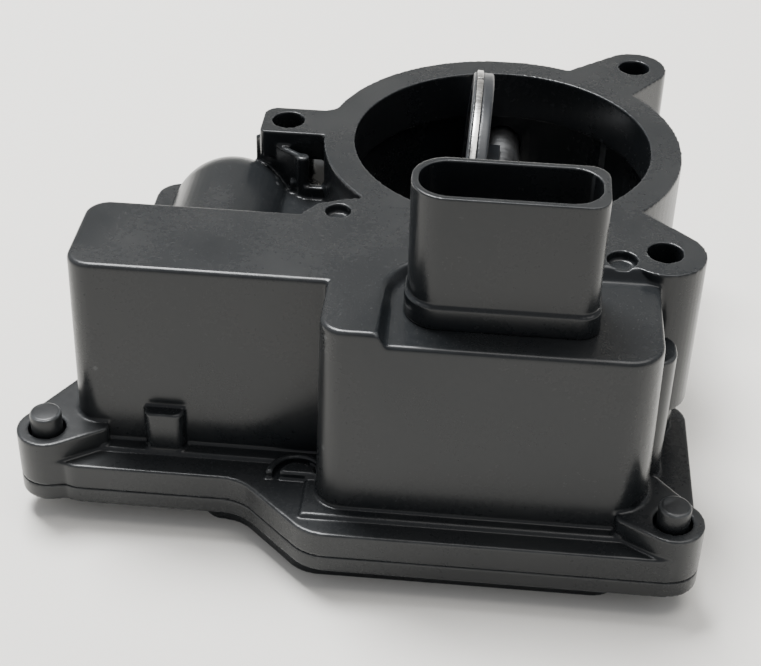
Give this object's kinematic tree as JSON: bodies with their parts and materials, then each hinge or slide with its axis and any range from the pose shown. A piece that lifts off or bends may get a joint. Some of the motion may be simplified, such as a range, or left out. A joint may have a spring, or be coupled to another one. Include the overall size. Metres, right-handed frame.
{
  "type": "throttle body",
  "caption": "Electronic throttle body with a moulded housing, offset butterfly in a round bore, upright connector and an enclosed motor and gear drive.",
  "frame": {"origin": "on the bore axis, in the plane of the upper mounting face", "axes": "+Z along the bore out of the mounting face, towards the connector's mouth; the throttle shaft runs along Y, with the drive compartment at -Y"},
  "size_m": [0.1294, 0.123, 0.0778],
  "materials": {
    "black_housing_plastic": "satin",
    "black_disc_plastic": "satin",
    "black_rubber": "matte",
    "bearing_steel": "ground",
    "ring_steel": "polished",
    "zinc_steel": "zinc plated",
    "spring_steel": "drawn wire",
    "core_steel": "laminated",
    "motor_cap_plastic": "moulded",
    "ferrite": "sintered",
    "carbon": "pressed carbon",
    "tinned_copper": "tinned",
    "circuit_board": "solder mask",
    "chip_plastic": "moulded",
    "gear_nylon": "moulded",
    "copper_wire": "enamelled",
    "brass_pinion": "cut"
  },
  "bodies": {
    "root": {"main_housing": "black_housing_plastic", "connector_shroud": "black_housing_plastic", "bottom_cover": "black_housing_plastic", "cover_seal": "black_rubber", "cover_rivets": "black_housing_plastic", "front_bearing": "bearing_steel", "rear_bearing": "bearing_steel", "front_shaft_seal": "black_rubber", "rear_shaft_seal": "black_rubber", "rear_plug": "zinc_steel", "second_idler_pin": "bearing_steel", "first_idler_pin": "bearing_steel", "return_spring": "spring_steel", "motor_can": "zinc_steel", "motor_end_cap": "motor_cap_plastic", "motor_front_bearing": "bearing_steel", "motor_rear_bearing": "bearing_steel", "motor_magnets": "ferrite", "motor_brushes": "carbon", "spring_washer": "spring_steel", "motor_screws": "zinc_steel", "connector_pins": "tinned_copper", "motor_leads": "tinned_copper", "sensor_board": "circuit_board", "sensor_chip": "chip_plastic"},
    "throttle": {"throttle_shaft": "bearing_steel", "throttle_disc": "black_disc_plastic", "seal_ring": "ring_steel", "disc_screws": "zinc_steel", "sector_gear": "gear_nylon", "sensor_magnet": "ferrite"},
    "second_idler": {"second_idler_gear": "gear_nylon"},
    "first_idler": {"first_idler_gear": "gear_nylon"},
    "motor_rotor": {"motor_shaft": "bearing_steel", "armature_core": "core_steel", "armature_windings": "copper_wire", "commutator": "copper_wire", "motor_pinion": "brass_pinion"}
  },
  "joints": [
    {"name": "throttle_turn", "type": "hinge", "parent": "root", "child": "throttle", "pos_m": [0, -0.045, -0.018], "axis": [0, 1, 0], "range_deg": [0, 86], "stiffness_Nm_per_rad": 0.02, "springref_deg": -17.19},
    {"name": "second_idler_turn", "type": "hinge", "parent": "root", "child": "second_idler", "pos_m": [-0.01655, -0.045, -0.03093], "axis": [0, 1, 0], "range_deg": [-278, 0]},
    {"name": "first_idler_turn", "type": "hinge", "parent": "root", "child": "first_idler", "pos_m": [-0.0359, -0.045, -0.0278], "axis": [0, 1, 0], "range_deg": [0, 764]},
    {"name": "motor_turn", "type": "hinge", "parent": "root", "child": "motor_rotor", "pos_m": [-0.05473, -0.045, -0.0185], "axis": [0, 1, 0], "range_deg": [-3051, 0]}
  ],
  "couplings": [
    {"joint": "second_idler_turn", "follows": "throttle_turn", "ratio": -3.2},
    {"joint": "first_idler_turn", "follows": "throttle_turn", "ratio": 8.8615},
    {"joint": "motor_turn", "follows": "throttle_turn", "ratio": -35.446}
  ]
}
